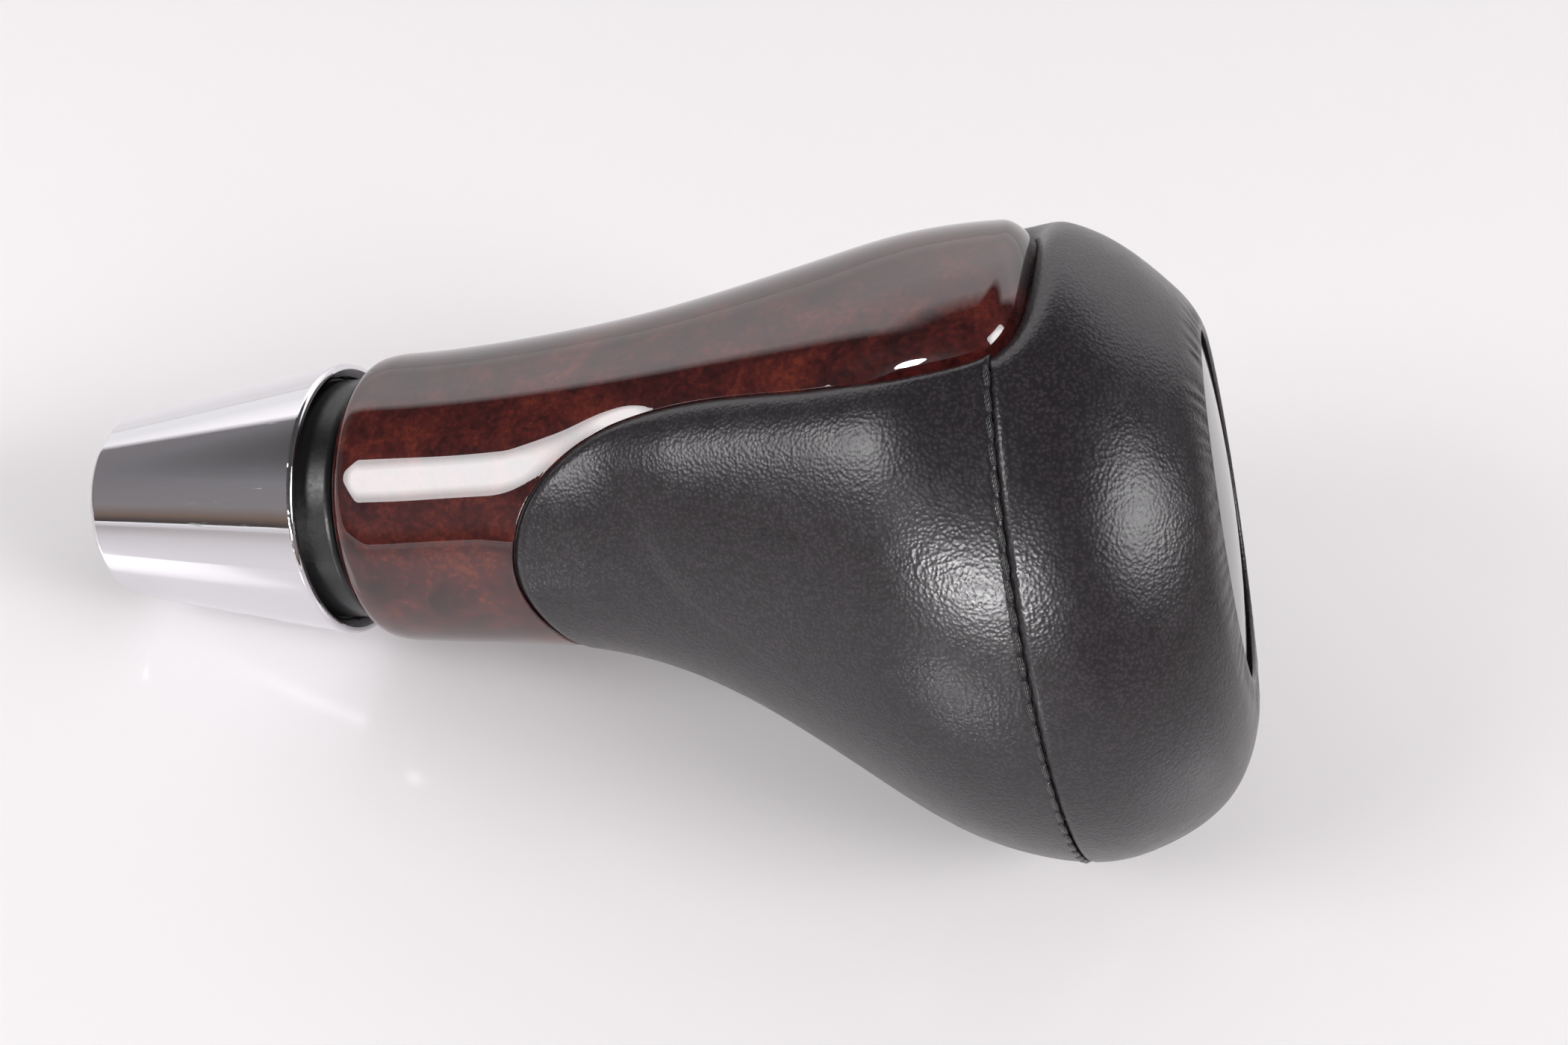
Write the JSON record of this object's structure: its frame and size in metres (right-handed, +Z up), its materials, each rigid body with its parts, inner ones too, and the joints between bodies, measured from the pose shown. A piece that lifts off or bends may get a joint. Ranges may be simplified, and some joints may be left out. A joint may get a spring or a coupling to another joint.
{
  "type": "gear shift knob",
  "caption": "Knob for an automatic gear lever: wood collar with a front tongue, leather head, plain top plate and a chromed sleeve that turns to release it.",
  "frame": {"origin": "centre of the lever bore at its mouth", "axes": "+Z up along the lever towards the head, the wooden tongue towards -Y, the palm side towards +Y"},
  "size_m": [0.0544, 0.0637, 0.1147],
  "materials": {
    "chrome": "polished chrome plate",
    "black_plastic": "satin moulded",
    "steel": "zinc plated",
    "core_plastic": "as moulded",
    "foam": "moulded foam skin",
    "burl_wood": "clear gloss lacquer",
    "leather": "fine grain",
    "gloss_black": "high gloss"
  },
  "bodies": {
    "knob": {"lever_socket": "black_plastic", "core_body": "core_plastic", "core_screw": "steel", "head_pad": "foam", "wood_trim": "burl_wood", "leather_wrap": "leather", "leather_crown": "leather", "top_plate": "gloss_black", "retaining_ring": "steel"},
    "sleeve": {"chrome_sleeve": "chrome", "lock_ring": "black_plastic"}
  },
  "joints": [
    {"name": "sleeve_twist", "type": "hinge", "parent": "knob", "child": "sleeve", "pos_m": [0, 0, 0.0075], "axis": [0, 0, 1], "range_deg": [0, 90]}
  ]
}
